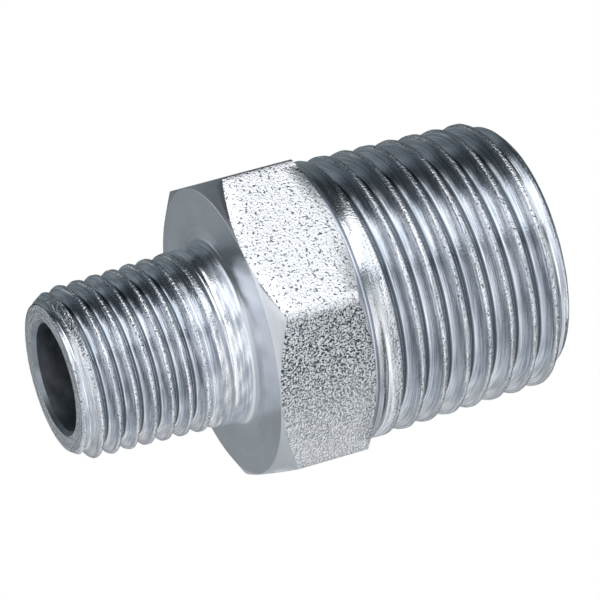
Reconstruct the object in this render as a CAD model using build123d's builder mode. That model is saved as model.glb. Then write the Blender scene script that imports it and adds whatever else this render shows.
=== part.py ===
from build123d import *
from math import atan, cos, degrees, radians, sin, sqrt, tan
import os

# Reducing hex nipple, R 1/2 by R 1/4, turned in one piece from hexagonal steel bar.
# Frame: millimetres, bore axis along X, origin on that axis at the middle of the hexagon,
# small thread towards -X, large thread towards +X, two of the flats facing +Z and -Z.

# Hexagon
ACROSS_FLATS = 21.4
HEX_WIDTH = 7.4
HEX_CHAMFER_ANGLE = 30.0  # measured from the end face
HEX_FACE_RADIUS = 10.65  # circle the chamfer leaves on each end of the hexagon
BLANK_ALLOWANCE = 5.0  # reach of the hexagon cut past its corners

# Thread form: 55 degree Whitworth, 1 in 16 on diameter; depth, rounding and apex are in pitches
HALF_FLANK_ANGLE = 27.5
HALF_TAPER_ANGLE = 1.7899
THREAD_DEPTH = 0.640327
ROOT_ROUNDING = 0.137329  # radius at the root of the groove
APEX_DEPTH = 0.160083  # from the rounded root down to the sharp apex

# Small end, R 1/4
SMALL_PITCH = 25.4 / 19
SMALL_LENGTH = 13.0
SMALL_CREST = 6.22  # crest radius, carried on to the end face
SMALL_RIM = 5.45  # outer radius of the end face, inside its chamfer
SMALL_CHAMFER = 1.1  # length of that chamfer along the axis
SMALL_LEAD = 1.27  # the groove starts this far outside the end face
SMALL_TURNS = 8  # full depth turns, counted from that start
SMALL_RUNOUT_TURNS = 1.6

# Large end, R 1/2
LARGE_PITCH = 25.4 / 14
LARGE_LENGTH = 16.2
LARGE_CREST = 10.0
LARGE_RIM = 8.87
LARGE_CHAMFER = 0.95
LARGE_LEAD = 1.51
LARGE_TURNS = 8.64
LARGE_RUNOUT_TURNS = 0.65

# Bore and end faces
SMALL_BORE_RADIUS = 4.0
LARGE_BORE_RADIUS = 7.25
LARGE_BORE_DEPTH = 13.9  # from the large end face to the start of the drill cone
DRILL_POINT_ANGLE = 59.0  # half of a 118 degree point
BORE_CHAMFER = 0.3
CUTTER_CLEARANCE = 0.25  # height of the thread cutter above the crest

HALF_HEX = HEX_WIDTH / 2
SMALL_END = -HALF_HEX - SMALL_LENGTH
LARGE_END = HALF_HEX + LARGE_LENGTH
TAPER = tan(radians(HALF_TAPER_ANGLE))  # radius gained per millimetre towards the hexagon
CORNER_RADIUS = ACROSS_FLATS / sqrt(3)
HEX_CHAMFER_DEPTH = (CORNER_RADIUS - HEX_FACE_RADIUS) * tan(radians(HEX_CHAMFER_ANGLE))
DRILL_CONE_START = LARGE_END - LARGE_BORE_DEPTH
DRILL_CONE_END = DRILL_CONE_START - (LARGE_BORE_RADIUS - SMALL_BORE_RADIUS) / tan(radians(DRILL_POINT_ANGLE))


def groove(origin, direction, turns, pitch, root, cone_angle):
    """A helical stretch of thread groove that starts at origin on the axis and runs along direction."""
    corner = ROOT_ROUNDING * (1 - sin(radians(HALF_FLANK_ANGLE))) * pitch
    half_root = ROOT_ROUNDING * cos(radians(HALF_FLANK_ANGLE)) * pitch
    top = THREAD_DEPTH * pitch + CUTTER_CLEARANCE
    half_top = (top + APEX_DEPTH * pitch) * tan(radians(HALF_FLANK_ANGLE))
    with BuildPart() as cutter:
        with BuildLine() as path:
            Helix(pitch, turns * pitch, root, (origin, 0, 0), (direction, 0, 0), cone_angle)
        start = path.line @ 0
        with BuildSketch(Plane(start, x_dir=(0, start.Y, start.Z), z_dir=path.line % 0)):
            with BuildLine():
                ThreePointArc((corner, -half_root), (0, 0), (corner, half_root))
                Polyline((corner, half_root), (top, half_top), (top, -half_top), (corner, -half_root))
            make_face()
        sweep(path=path.line, is_frenet=True)
    return cutter.part


def thread_grooves(end, direction, pitch, crest, lead, turns, runout_turns):
    """The full depth turns, and the turns that climb out of the metal before the hexagon."""
    start = end - direction * lead
    start_root = crest - THREAD_DEPTH * pitch - lead * TAPER
    full_length = turns * pitch
    climb = THREAD_DEPTH * pitch + CUTTER_CLEARANCE
    climb_angle = degrees(atan(climb / (runout_turns * pitch)))
    runout = groove(start + direction * full_length, direction, runout_turns, pitch,
                    start_root + full_length * TAPER, climb_angle)
    return (
        groove(start, direction, turns, pitch, start_root, HALF_TAPER_ANGLE),
        runout.rotate(Axis.X, direction * turns * 360),
    )


os.makedirs("parts", exist_ok=True)

small_grooves = thread_grooves(SMALL_END, 1, SMALL_PITCH, SMALL_CREST,
                               SMALL_LEAD, SMALL_TURNS, SMALL_RUNOUT_TURNS)
large_grooves = thread_grooves(LARGE_END, -1, LARGE_PITCH, LARGE_CREST,
                               LARGE_LEAD, LARGE_TURNS, LARGE_RUNOUT_TURNS)

# The whole nipple: turned blank, hexagon flats, stepped bore, then the two threads
with BuildPart() as nipple_body:
    with BuildSketch(Plane.XY):
        with BuildLine():
            Polyline(
                (SMALL_END, 0),
                (SMALL_END, SMALL_RIM),
                (SMALL_END + SMALL_CHAMFER, SMALL_CREST + SMALL_CHAMFER * TAPER),
                (-HALF_HEX, SMALL_CREST + SMALL_LENGTH * TAPER),
                (-HALF_HEX, HEX_FACE_RADIUS),
                (-HALF_HEX + HEX_CHAMFER_DEPTH, CORNER_RADIUS),
                (HALF_HEX - HEX_CHAMFER_DEPTH, CORNER_RADIUS),
                (HALF_HEX, HEX_FACE_RADIUS),
                (HALF_HEX, LARGE_CREST + LARGE_LENGTH * TAPER),
                (LARGE_END - LARGE_CHAMFER, LARGE_CREST + LARGE_CHAMFER * TAPER),
                (LARGE_END, LARGE_RIM),
                (LARGE_END, 0),
                close=True,
            )
        make_face()
    revolve(axis=Axis.X)

    with BuildSketch(Plane.YZ.offset(-HALF_HEX)):
        RegularPolygon(CORNER_RADIUS + BLANK_ALLOWANCE, 6)
        RegularPolygon(ACROSS_FLATS / 2, 6, major_radius=False, mode=Mode.SUBTRACT)
    extrude(amount=HEX_WIDTH, mode=Mode.SUBTRACT)

    with BuildSketch(Plane.XY):
        with BuildLine():
            Polyline(
                (SMALL_END, 0),
                (SMALL_END, SMALL_BORE_RADIUS + BORE_CHAMFER),
                (SMALL_END + BORE_CHAMFER, SMALL_BORE_RADIUS),
                (DRILL_CONE_END, SMALL_BORE_RADIUS),
                (DRILL_CONE_START, LARGE_BORE_RADIUS),
                (LARGE_END - BORE_CHAMFER, LARGE_BORE_RADIUS),
                (LARGE_END, LARGE_BORE_RADIUS + BORE_CHAMFER),
                (LARGE_END, 0),
                close=True,
            )
        make_face()
    revolve(axis=Axis.X, mode=Mode.SUBTRACT)

    for stretch in small_grooves + large_grooves:
        add(stretch, mode=Mode.SUBTRACT)

nipple_body.part.label = "nipple_body"
export_step(nipple_body.part, "parts/nipple_body.step")
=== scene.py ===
from math import cos, pi, radians, sin, sqrt, tan

import bmesh
import bpy
import numpy as np
from mathutils import Matrix, Vector


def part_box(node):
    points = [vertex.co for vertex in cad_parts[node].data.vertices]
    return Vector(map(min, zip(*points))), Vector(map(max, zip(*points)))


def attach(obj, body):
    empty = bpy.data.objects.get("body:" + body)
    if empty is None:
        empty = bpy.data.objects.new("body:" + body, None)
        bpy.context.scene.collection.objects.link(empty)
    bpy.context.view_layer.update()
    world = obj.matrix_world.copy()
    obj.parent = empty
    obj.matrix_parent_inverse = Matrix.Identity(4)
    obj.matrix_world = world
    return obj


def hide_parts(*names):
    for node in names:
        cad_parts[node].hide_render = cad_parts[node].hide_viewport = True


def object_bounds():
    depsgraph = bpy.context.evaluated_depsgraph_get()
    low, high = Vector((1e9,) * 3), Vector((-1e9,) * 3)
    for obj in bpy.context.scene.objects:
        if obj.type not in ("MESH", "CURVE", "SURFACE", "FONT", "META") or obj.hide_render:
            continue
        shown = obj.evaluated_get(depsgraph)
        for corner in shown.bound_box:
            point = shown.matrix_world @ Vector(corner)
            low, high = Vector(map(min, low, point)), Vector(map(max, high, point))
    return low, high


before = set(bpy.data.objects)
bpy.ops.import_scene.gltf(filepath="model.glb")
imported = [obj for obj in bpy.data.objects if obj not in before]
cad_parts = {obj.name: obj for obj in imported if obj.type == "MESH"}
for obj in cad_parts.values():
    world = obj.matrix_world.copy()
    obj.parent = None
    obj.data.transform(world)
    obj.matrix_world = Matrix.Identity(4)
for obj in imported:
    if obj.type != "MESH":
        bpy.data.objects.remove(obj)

# A zinc plated reducing hex nipple: two taper threads, a hexagon and a stepped bore, in one
# closed mesh whose lines follow the thread helix. Shapes are worked out in millimetres, in the
# frame of the CAD: bore along X, origin at the middle of the hexagon, flats facing +Z and -Z.
# Angles are measured about X, from +Y towards +Z.

MM = 0.001
NODE = "nipple_body"
CAD_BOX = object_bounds()
LOW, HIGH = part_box(NODE)
SMALL_END = LOW.x / MM
LARGE_END = HIGH.x / MM
ACROSS_FLATS = (HIGH.z - LOW.z) / MM

# Hexagon
HALF_HEX = 3.7
HEX_FACE_RADIUS = 10.65
HEX_CHAMFER_SLOPE = tan(radians(30.0))
CORNER_FLAT = 0.05  # how much of each corner's radius the rounding takes off
CORNER_BLEND = 0.08  # width over which that rounding runs into the flats
SIXTH = radians(60.0)
NECK_FILLET = 0.35  # small stub's foot, where it runs out into the hexagon's face
NECK_RELIEF = 0.30  # depth of the narrow relief cut behind the hexagon
RELIEF_WIDTH = 0.35

# Thread form: 55 degree Whitworth on a 1 in 16 cone; depth and rounding are in pitches
TAPER = 1.0 / 32.0
HALF_FLANK = radians(27.5)
THREAD_DEPTH = 0.640327
ROUNDING = 0.137329
CREST_BLEND = 0.10  # width over which groove walls and crest run into each other
CHAMFER_BLEND = 0.06  # the same, between the taper and the end chamfer
CREST_WEAR = 0.03  # height of the waviness on the crests
RUNOUT_RISE = 1.15  # how far the groove climbs over its run-out, in thread depths
NECK_SHARE = 0.3  # cavity value of the plain neck: neither crest nor root
MERGE_DISTANCE = 2e-7  # metres; joins the seam at +Y and the rows clamped to a stub's ends

# Bore
SMALL_BORE = 4.0
LARGE_BORE = 7.25
DRILL_CONE_END = 4.047
DRILL_CONE_START = 6.0
BORE_CHAMFER = 0.3


class Thread:
    """One threaded stub. chamfer is the length of its end chamfer, foot its distance from the
    hexagon, top_groove where a groove centre passes the top of the stub, and runout where the
    groove's centre starts to climb, over runout_turns, out of the metal."""

    def __init__(self, side, end, threads_per_inch, crest, rim, chamfer, foot,
                 top_groove, runout, runout_turns):
        self.side = side
        self.end = end
        self.pitch = 25.4 / threads_per_inch
        self.crest = crest
        self.rim = rim
        self.chamfer_slope = (crest - rim) / chamfer
        self.at_zero = top_groove - self.pitch / 4
        self.runout = runout
        self.runout_length = runout_turns * self.pitch
        self.depth = THREAD_DEPTH * self.pitch
        self.foot = side * (HALF_HEX + foot)

    def cone(self, x):
        """Crest radius of the taper at x."""
        return self.crest + np.abs(self.end - x) * TAPER

    def blank(self, x):
        """Radius of the turned stub before it is threaded: the cone and its end chamfer."""
        chamfer = self.rim + self.chamfer_slope * np.abs(self.end - x)
        return smooth_min(self.cone(x), chamfer, CHAMFER_BLEND)


SMALL = Thread(side=-1, end=SMALL_END, threads_per_inch=19, crest=6.22, rim=5.45, chamfer=1.1,
               foot=NECK_FILLET, top_groove=-13.96, runout=-7.275, runout_turns=1.6)
LARGE = Thread(side=1, end=LARGE_END, threads_per_inch=14, crest=10.0, rim=8.87, chamfer=0.95,
               foot=RELIEF_WIDTH, top_groove=7.8, runout=5.73, runout_turns=0.65)

# Angular stations: every two degrees, and closer at the hexagon's corners
STEP = 2.0
CORNER_STEPS = (-0.7, -0.35, 0.35, 0.7)
CORNERS = [(60.0 * corner + step) % 360.0 for corner in range(6) for step in CORNER_STEPS]
ANGLES = np.radians(np.array(sorted([*np.arange(0.0, 360.0, STEP), *CORNERS, 360.0])))


def smooth_min(a, b, width):
    """The lower of a and b, with the corner between them rounded over width."""
    share = np.clip(0.5 + 0.5 * (b - a) / width, 0.0, 1.0)
    return b + (a - b) * share - width * share * (1.0 - share)


def groove_form(offset, pitch):
    """Height of the groove's wall above its root, at an axial distance from its centre."""
    rounding = ROUNDING * pitch
    tangent = rounding * cos(HALF_FLANK)
    away = np.abs(offset)
    arc = rounding - np.sqrt(rounding ** 2 - np.minimum(away, tangent) ** 2)
    return arc + np.maximum(away - tangent, 0.0) / tan(HALF_FLANK)


def wear(x, angle, size):
    """Slow waviness of the crests, so that no two turns catch the light alike."""
    waves = ((5, 2.1), (11, -3.7), (23, 5.3))
    return size * sum(np.sin(turns * angle + drift * x) for turns, drift in waves) / 3


def stub_radius(thread, x, angle):
    """Outer radius of a stub: its cone, the end chamfer, and the groove cut into both."""
    radius = thread.blank(x) + wear(x, angle, CREST_WEAR)
    turn = (x - thread.at_zero) / thread.pitch - angle / (2 * pi)
    for neighbour in (-1, 0, 1):
        offset = (turn - np.round(turn) - neighbour) * thread.pitch
        centre = x - offset
        climbed = np.clip(thread.side * (thread.runout - centre) / thread.runout_length, 0.0, 2.0)
        root = thread.cone(centre) - thread.depth * (1.0 - RUNOUT_RISE * climbed)
        radius = smooth_min(radius, root + groove_form(offset, thread.pitch), CREST_BLEND)
    return radius


def form_stations(thread):
    """Places across one pitch, in pitches from a groove centre, closer together where the
    form turns."""
    tangent = ROUNDING * cos(HALF_FLANK)
    edge = tangent + (THREAD_DEPTH - ROUNDING * (1 - sin(HALF_FLANK))) * tan(HALF_FLANK)
    half = np.array([0.0, tangent * 0.55, tangent, (tangent + edge) / 2,
                     edge - 0.035, edge, edge + 0.04, 0.5])
    return np.concatenate([half, 1.0 - half[-2:0:-1]])


def stub_grid(thread):
    """x and radius of a stub's outside; each row of stations follows the helix."""
    low, high = sorted((thread.end, thread.foot))
    first, last = (int((place - thread.at_zero) // thread.pitch) for place in (low, high))
    turns = range(first - 1, last + 1)
    stations = form_stations(thread)
    rows = np.concatenate([thread.at_zero + (turn + stations) * thread.pitch for turn in turns])
    x = np.clip(rows[:, None] + thread.pitch * ANGLES / (2 * pi), low, high)
    return x, stub_radius(thread, x, ANGLES + 0 * x)


FLAT_ROWS = (10, 16)  # the flats lie between these rows of hexagon_grid


def hexagon_grid():
    """x and radius from the small stub's foot, over the hexagon, to the large stub's relief."""
    off_flat = ANGLES % SIXTH - SIXTH / 2
    corner = ACROSS_FLATS / sqrt(3)
    flat = ACROSS_FLATS / 2 / np.cos(off_flat)
    outline = smooth_min(flat, corner - CORNER_FLAT + 0 * off_flat, CORNER_BLEND)
    face = np.minimum(outline, HEX_FACE_RADIUS)
    drop = (outline - face) * HEX_CHAMFER_SLOPE
    small_foot = SMALL.cone(-HALF_HEX) + 0 * face
    large_foot = LARGE.cone(HALF_HEX) + 0 * face
    fillet = [(1.0 - cos(turn), 1.0 - sin(turn)) for turn in np.radians((0.0, 30.0, 60.0, 90.0))]
    rows = [(-HALF_HEX - NECK_FILLET * back, small_foot + NECK_FILLET * up) for up, back in fillet]
    rows = [(x + 0 * face, radius) for x, radius in rows]
    raised = small_foot + NECK_FILLET
    rows += [(-HALF_HEX + 0 * face, raised + (face - raised) * share) for share in (0.3, 0.7, 0.98)]
    rows += [(-HALF_HEX + drop * share, face + (outline - face) * share) for share in (0, 0.03, 0.5, 0.96)]
    rows += [((2 * share - 1) * (HALF_HEX - drop), outline) for share in (0.005, 0.2, 0.5, 0.8, 0.995)]
    rows += [(HALF_HEX - drop * share, face + (outline - face) * share) for share in (0.96, 0.5, 0.03, 0)]
    rows += [(HALF_HEX + 0 * face, large_foot - NECK_RELIEF)]
    rows += [(HALF_HEX + RELIEF_WIDTH * share + 0 * face, large_foot - NECK_RELIEF) for share in (0.5, 0.8)]
    return np.array([row[0] for row in rows]), np.array([row[1] for row in rows])


def inside_grid():
    """x and radius from the large end's rim, through the bore, to the small end's rim."""
    outline = [
        (LARGE_END, LARGE.rim),
        (LARGE_END, LARGE_BORE + BORE_CHAMFER),
        (LARGE_END - BORE_CHAMFER, LARGE_BORE),
        (DRILL_CONE_START, LARGE_BORE),
        (DRILL_CONE_END, SMALL_BORE),
        (SMALL_END + BORE_CHAMFER, SMALL_BORE),
        (SMALL_END, SMALL_BORE + BORE_CHAMFER),
        (SMALL_END, SMALL.rim),
    ]
    return tuple(np.array([point[axis] for point in outline])[:, None] + 0 * ANGLES for axis in (0, 1))


def groove_share(sections):
    """How far each point lies down its thread groove: 0 on a crest and 1 at the root, with
    NECK_SHARE on the plain neck. Points away from the stubs have 0."""
    shares = [np.zeros_like(section[0]) for section in sections]
    for place, thread in ((0, SMALL), (2, LARGE)):
        x, radius = sections[place]
        shares[place] = np.clip((thread.blank(x) - radius) / thread.depth, 0.0, 1.0)
        unthreaded = np.clip(thread.side * (thread.runout - x) / thread.runout_length, 0.0, 1.0)
        shares[place] = np.maximum(shares[place], NECK_SHARE * unthreaded)
    return np.concatenate(shares)


def nipple_mesh(materials):
    """The whole nipple as one closed mesh, with a material for each kind of surface."""
    sections = [stub_grid(SMALL), hexagon_grid(), stub_grid(LARGE), inside_grid()]
    x = np.concatenate([section[0] for section in sections])
    radius = np.concatenate([section[1] for section in sections])
    points = np.stack([x, radius * np.cos(ANGLES), radius * np.sin(ANGLES)], -1) * MM
    index = np.arange(x.size).reshape(x.shape)
    index = np.concatenate([index, index[:1]])  # the last row joins the first at the small end's rim
    quads = np.stack([index[:-1, :-1], index[:-1, 1:], index[1:, 1:], index[1:, :-1]], -1)
    mesh = bpy.data.meshes.new("nipple")
    mesh.from_pydata(points.reshape(-1, 3).tolist(), [], quads.reshape(-1, 4).tolist())
    for material in materials:
        mesh.materials.append(material)
    starts = np.cumsum([0] + [len(section[0]) for section in sections])
    row = np.arange(len(x))
    threads, flats, faces, bore = range(4)
    kind = np.full(len(row), threads)
    kind[(row >= starts[1] - 1) & (row < starts[2])] = faces
    first_flat, last_flat = (starts[1] + place for place in FLAT_ROWS)
    kind[(row >= first_flat) & (row < last_flat)] = flats
    kind[row >= starts[3]] = bore
    kind[row >= len(row) - 2] = threads  # the small end's rim
    mesh.polygons.foreach_set("material_index", np.repeat(kind, x.shape[1] - 1))
    cavity = mesh.attributes.new("cavity", "FLOAT", "POINT")
    cavity.data.foreach_set("value", groove_share(sections).ravel())
    form = bmesh.new()
    form.from_mesh(mesh)
    bmesh.ops.remove_doubles(form, verts=form.verts, dist=MERGE_DISTANCE)
    bmesh.ops.recalc_face_normals(form, faces=form.faces)
    form.to_mesh(mesh)
    form.free()
    mesh.shade_smooth()
    mesh.set_sharp_from_angle(angle=radians(40.0))
    return mesh


# Materials

RADIUS_WEIGHT = 1.3  # lets tool marks step across a face as well as along the bore


def node(tree, kind, inputs=(), **settings):
    """Adds a node; inputs maps a socket's name or number to a value or to another node's output."""
    made = tree.nodes.new(kind)
    for name, value in settings.items():
        setattr(made, name, value)
    for name, value in dict(inputs).items():
        if isinstance(value, bpy.types.NodeSocket):
            tree.links.new(value, made.inputs[name])
        else:
            made.inputs[name].default_value = value
    return made


def maths(tree, operation, *values):
    """The result of a maths node; each value is a number or another node's output."""
    return node(tree, "ShaderNodeMath", enumerate(values), operation=operation).outputs[0]


def ramp(tree, factor, stops):
    """A colour ramp; stops are (place, value or colour)."""
    made = node(tree, "ShaderNodeValToRGB", {"Fac": factor})
    points = made.color_ramp.elements
    while len(points) < len(stops):
        points.new(0.5)
    for point, (place, value) in zip(points, stops):
        point.position = place
        point.color = (*value, 1.0) if isinstance(value, tuple) else (value, value, value, 1.0)
    return made.outputs["Color"]


def noise(tree, vector, scale, detail):
    """Fractal noise over a texture space, from 0 to 1."""
    made = node(tree, "ShaderNodeTexNoise", {"Vector": vector, "Scale": scale, "Detail": detail})
    return made.outputs["Fac"]


def turned_vector(tree, across, around):
    """Texture space of a turned surface: fine across the tool marks, drawn out around the axis."""
    place = node(tree, "ShaderNodeTexCoord").outputs["Object"]
    parts = node(tree, "ShaderNodeSeparateXYZ", {0: place})
    x, y, z = (maths(tree, "MULTIPLY", parts.outputs[i], 1.0 / MM) for i in range(3))
    squares = (maths(tree, "MULTIPLY", part, part) for part in (y, z))
    radius = maths(tree, "SQRT", maths(tree, "ADD", *squares))
    profile = maths(tree, "ADD", x, maths(tree, "MULTIPLY", radius, RADIUS_WEIGHT))
    fine = maths(tree, "MULTIPLY", profile, across)
    round_y = maths(tree, "MULTIPLY", maths(tree, "DIVIDE", y, radius), around)
    round_z = maths(tree, "MULTIPLY", maths(tree, "DIVIDE", z, radius), around)
    return node(tree, "ShaderNodeCombineXYZ", {0: fine, 1: round_y, 2: round_z}).outputs[0]


def millimetres(tree):
    """Plain texture space, one unit to a millimetre."""
    place = node(tree, "ShaderNodeTexCoord").outputs["Object"]
    scaled = node(tree, "ShaderNodeVectorMath", {0: place, "Scale": 1.0 / MM}, operation="SCALE")
    return scaled.outputs[0]


def metal(name):
    """A new material with a metallic principled shader; returns it, its tree and the shader."""
    material = bpy.data.materials.new(name)
    material.use_nodes = True
    tree = material.node_tree
    tree.nodes.clear()
    shader = node(tree, "ShaderNodeBsdfPrincipled", {"Metallic": 1.0})
    node(tree, "ShaderNodeOutputMaterial", {"Surface": shader.outputs[0]})
    return material, tree, shader


def mixed(tree, factor, a, b):
    """A mix of two colours, each given as a value or as another node's output."""
    made = node(tree, "ShaderNodeMix", data_type="RGBA")
    sockets = [socket for socket in made.inputs if socket.enabled]
    for socket, value in zip(sockets, (factor, a, b)):
        if isinstance(value, bpy.types.NodeSocket):
            tree.links.new(value, socket)
        else:
            socket.default_value = (*value, 1.0)
    return [socket for socket in made.outputs if socket.enabled][0]


def stretched(tree, value, low, high, bottom=0.0, top=1.0):
    """A value mapped from the range low to high on to the range bottom to top, and held there."""
    inputs = {"Value": value, "From Min": low, "From Max": high, "To Min": bottom, "To Max": top}
    return node(tree, "ShaderNodeMapRange", inputs).outputs[0]


def bumped(tree, height, distance, below=None):
    """A surface normal bumped by a height, on top of another bump if one is given."""
    inputs = {"Height": height, "Distance": distance, "Strength": 1.0}
    if below is not None:
        inputs["Normal"] = below
    return node(tree, "ShaderNodeBump", inputs).outputs[0]


# Clean zinc, dull zinc, and the dark of a pit, which also serves as painted shade in a thread's root
ZINC = (0.86, 0.89, 0.94)
ZINC_DULL = (0.54, 0.58, 0.64)
ZINC_PIT_AND_SHADE = (0.05, 0.07, 0.09)


def thread_zinc():
    """Bright zinc over cut threads: lines round the axis, painted shade in the roots, and beaten, speckled
    crests.
    """
    material, tree, shader = metal("thread_zinc")
    place = millimetres(tree)
    cavity = node(tree, "ShaderNodeAttribute", attribute_name="cavity").outputs["Fac"]
    lines = noise(tree, turned_vector(tree, 5.0, 2.5), 1.0, 3.0)
    specks = noise(tree, place, 6.0, 2.0)
    on_crest = ramp(tree, cavity, [(0.02, 1.0), (0.22, 0.0)])
    # Painted shade: the deepest part of each thread groove is darkened in the base colour
    root = ramp(tree, cavity, [(0.955, 0.0), (0.982, 0.95)])
    pits = maths(tree, "MULTIPLY", on_crest, ramp(tree, specks, [(0.32, 1.0), (0.40, 0.0)]))
    clean = mixed(tree, ramp(tree, lines, [(0.36, 0.0), (0.60, 1.0)]), ZINC_DULL, ZINC)
    pitted_and_shaded = mixed(tree, maths(tree, "MAXIMUM", pits, root), clean, ZINC_PIT_AND_SHADE)
    tree.links.new(pitted_and_shaded, shader.inputs["Base Color"])
    rough = stretched(tree, lines, 0.0, 1.0, bottom=0.12, top=0.24)
    tree.links.new(rough, shader.inputs["Roughness"])
    turned = bumped(tree, lines, 0.016 * MM)
    force = maths(tree, "ADD", maths(tree, "MULTIPLY", on_crest, 1.2), 0.22)
    beaten = maths(tree, "MULTIPLY", specks, force)
    tree.links.new(bumped(tree, beaten, 0.06 * MM, turned), shader.inputs["Normal"])
    return material


def flat_zinc():
    """The hexagon's flats: zinc over coarse drawn steel with dark pits; the lower flats are coarser and
    carry painted shade, many more dark pits that make them blacker.
    """
    material, tree, shader = metal("flat_zinc")
    place = millimetres(tree)
    height = node(tree, "ShaderNodeSeparateXYZ", {0: place}).outputs["Z"]
    # Painted shade: below the middle of the hexagon the flats get many more dark pits, thinning out towards
    # the lowest flat
    lower = stretched(tree, height, 0.4, -0.4)
    grain = noise(tree, place, 6.5, 4.0)
    few = ramp(tree, noise(tree, place, 5.6, 1.0), [(0.33, 0.9), (0.42, 0.0)])
    painted_shade_pits = ramp(tree, noise(tree, place, 7.4, 2.0), [(0.42, 1.0), (0.55, 0.0)])
    painted_shade_taper = stretched(tree, height, -10.0, -4.0, bottom=0.35)
    # Real pits on the upper flats; on the lower flats the extra pits are painted shade
    pits = mixed(tree, lower, few, maths(tree, "MULTIPLY", painted_shade_pits, painted_shade_taper))
    tree.links.new(mixed(tree, pits, ZINC, ZINC_PIT_AND_SHADE), shader.inputs["Base Color"])
    shader.inputs["Roughness"].default_value = 0.30
    depth = maths(tree, "ADD", maths(tree, "MULTIPLY", lower, 0.75), 0.25)
    relief = maths(tree, "MULTIPLY", grain, depth)
    tree.links.new(bumped(tree, relief, 0.14 * MM), shader.inputs["Normal"])
    return material


def face_zinc():
    """The hexagon's ends: faced on the lathe, satin, with faint rings."""
    material, tree, shader = metal("face_zinc")
    rings = noise(tree, turned_vector(tree, 3.0, 0.6), 1.0, 3.0)
    cloud = noise(tree, millimetres(tree), 0.35, 2.0)
    halves = (maths(tree, "MULTIPLY", part, 0.5) for part in (rings, cloud))
    tone = maths(tree, "ADD", *halves)
    tree.links.new(mixed(tree, tone, ZINC_DULL, ZINC), shader.inputs["Base Color"])
    shader.inputs["Roughness"].default_value = 0.30
    tree.links.new(bumped(tree, rings, 0.012 * MM), shader.inputs["Normal"])
    return material


def bore_zinc():
    """The bore: dull and dark, drilled, with faint streaks."""
    material, tree, shader = metal("bore_zinc")
    lines = noise(tree, turned_vector(tree, 1.2, 3.0), 1.0, 3.0)
    tree.links.new(mixed(tree, lines, ZINC_PIT_AND_SHADE, ZINC_DULL), shader.inputs["Base Color"])
    shader.inputs["Roughness"].default_value = 0.38
    tree.links.new(bumped(tree, lines, 0.02 * MM), shader.inputs["Normal"])
    return material


finishes = [thread_zinc(), flat_zinc(), face_zinc(), bore_zinc()]
nipple = bpy.data.objects.new("nipple", nipple_mesh(finishes))
bpy.context.scene.collection.objects.link(nipple)
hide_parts(NODE)
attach(nipple, "root")


# Studio: a white backdrop, a white floor and a ring of soft panels round the object

# Panels as (place, brightness). The first two sets run parallel to the bore, placed by the angle
# in degrees from the camera's side upwards; the last is placed by height, from -1 below to 1 above.
AROUND = [
    (-180, 0.20), (-150, 0.40), (-120, 0.5), (-60, 0.62), (-40, 0.75), (-25, 0.95), (2, 0.9),
    (7, 0.24), (17, 0.24), (21, 1.7), (63, 1.7), (67, 0.04), (108, 0.03), (126, 0.12),
    (165, 0.24), (180, 0.20),
]
TOWARDS_END = [
    (-180, 0.16), (-150, 0.8), (-90, 1.0), (-40, 1.4), (60, 1.6), (84, 1.3), (92, 0.05),
    (112, 0.05), (125, 0.3), (180, 0.16),
]
BESIDE = [
    (-1.0, 0.42), (-0.5, 0.60), (-0.2, 0.85), (0.0, 0.85), (0.10, 1.25), (0.27, 1.5),
    (0.33, 0.05), (0.55, 0.04), (1.0, 0.16),
]
DARK_CARD = 0.03  # brightness of the narrow dark card off the large end

# Where along the bore each set is seen, as (place, share) from -1 at the small end's side to 1
TOWARDS_END_ZONE = [(-0.36, 0.0), (-0.26, 1.0), (0.10, 1.0), (0.22, 0.0)]
DARK_ZONE = [(0.50, 0.0), (0.55, 0.9), (0.68, 0.9), (0.76, 0.0)]
BESIDE_ZONE = [(-0.70, 1.0), (-0.40, 0.0)]

SLATE_BELOW = 0.6  # brightness under which a panel turns from grey towards slate


def cool(value):
    """A grey of the given brightness, turned towards slate where it is dark."""
    depth = max(0.0, 1.0 - value / SLATE_BELOW)
    return (value * (1.0 - 0.22 * depth), value, value * (1.0 + 0.10 * depth))


def spread(stops, reach):
    """Stops placed from -reach to reach, moved to the 0 to 1 of a ramp."""
    return [((place / reach + 1.0) / 2.0, value) for place, value in stops]


def panels(tree, factor, reach, stops):
    """The colour of a set of panels over a factor that stands for -reach to reach."""
    return ramp(tree, factor, [(place, cool(value)) for place, value in spread(stops, reach)])


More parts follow.
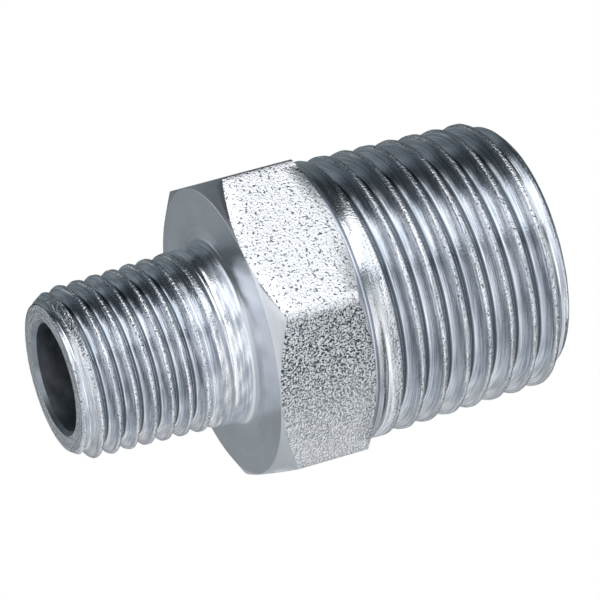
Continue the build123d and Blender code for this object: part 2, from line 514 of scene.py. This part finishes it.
def studio():
    """What the metal reflects: BESIDE off the small end, TOWARDS_END next to it and AROUND for
    the rest, with a narrow dark card in it. The camera itself sees plain white."""
    world = bpy.data.worlds.new("studio")
    bpy.context.scene.world = world
    world.use_nodes = True
    tree = world.node_tree
    tree.nodes.clear()
    way = node(tree, "ShaderNodeSeparateXYZ", {0: node(tree, "ShaderNodeTexCoord").outputs["Generated"]})
    x, y, z = way.outputs
    height = maths(tree, "ARCTAN2", z, maths(tree, "MULTIPLY", y, -1.0))
    turn = stretched(tree, height, -pi, pi)
    along = stretched(tree, x, -1.0, 1.0)
    rise = stretched(tree, z, -1.0, 1.0)
    around = panels(tree, turn, 180.0, AROUND)
    towards_end = panels(tree, turn, 180.0, TOWARDS_END)
    beside = panels(tree, rise, 1.0, BESIDE)
    seen = mixed(tree, ramp(tree, along, spread(TOWARDS_END_ZONE, 1.0)), around, towards_end)
    seen = mixed(tree, ramp(tree, along, spread(DARK_ZONE, 1.0)), seen, cool(DARK_CARD))
    seen = mixed(tree, ramp(tree, along, spread(BESIDE_ZONE, 1.0)), seen, beside)
    camera_ray = node(tree, "ShaderNodeLightPath").outputs["Is Camera Ray"]
    light = node(tree, "ShaderNodeBackground", {"Color": seen})
    white = node(tree, "ShaderNodeBackground", {"Color": (1.0, 1.0, 1.0, 1.0)})
    both = node(tree, "ShaderNodeMixShader", {0: camera_ray, 1: light.outputs[0], 2: white.outputs[0]})
    node(tree, "ShaderNodeOutputWorld", {"Surface": both.outputs[0]})


FLOOR_REACH = 2.0
FLOOR_GAP = 0.5 * MM


def floor():
    """A plain white floor under the lowest flat; it is seen, but the metal mirrors the panels."""
    mesh = bpy.data.meshes.new("floor")
    level = CAD_BOX[0].z - FLOOR_GAP
    signs = ((-1, -1), (1, -1), (1, 1), (-1, 1))
    corners = [(x * FLOOR_REACH, y * FLOOR_REACH, level) for x, y in signs]
    mesh.from_pydata(corners, [], [(0, 1, 2, 3)])
    material = bpy.data.materials.new("floor_white")
    material.use_nodes = True
    tree = material.node_tree
    tree.nodes.clear()
    shade = node(tree, "ShaderNodeEmission", {"Color": (1.0, 1.0, 1.0, 1.0), "Strength": 1.0})
    node(tree, "ShaderNodeOutputMaterial", {"Surface": shade.outputs[0]})
    mesh.materials.append(material)
    ground = bpy.data.objects.new("floor", mesh)
    ground.visible_diffuse = False
    ground.visible_glossy = False
    ground.visible_shadow = False
    bpy.context.scene.collection.objects.link(ground)


CAMERA_DISTANCE = 0.3297
CAMERA_LENS = 273.7


def camera():
    """Low, from the small end's side, tilted so that the bore rises to the right."""
    azimuth, elevation, roll = radians(-19.06), radians(1.79), radians(-14.9)
    target = Vector((2.4, -1.0, 0.7)) * MM
    back = Vector((sin(azimuth) * cos(elevation), -cos(azimuth) * cos(elevation), sin(elevation)))
    eye = bpy.data.objects.new("camera", bpy.data.cameras.new("camera"))
    bpy.context.scene.collection.objects.link(eye)
    turned = (-back).to_track_quat("-Z", "Y").to_matrix().to_4x4() @ Matrix.Rotation(roll, 4, "Z")
    eye.matrix_world = Matrix.Translation(target + back * CAMERA_DISTANCE) @ turned
    eye.data.lens = CAMERA_LENS
    eye.data.sensor_width = 36.0
    eye.data.clip_start = 0.01
    eye.data.clip_end = 20.0
    bpy.context.scene.camera = eye


studio()
floor()
camera()
bpy.context.scene.view_settings.view_transform = "Standard"
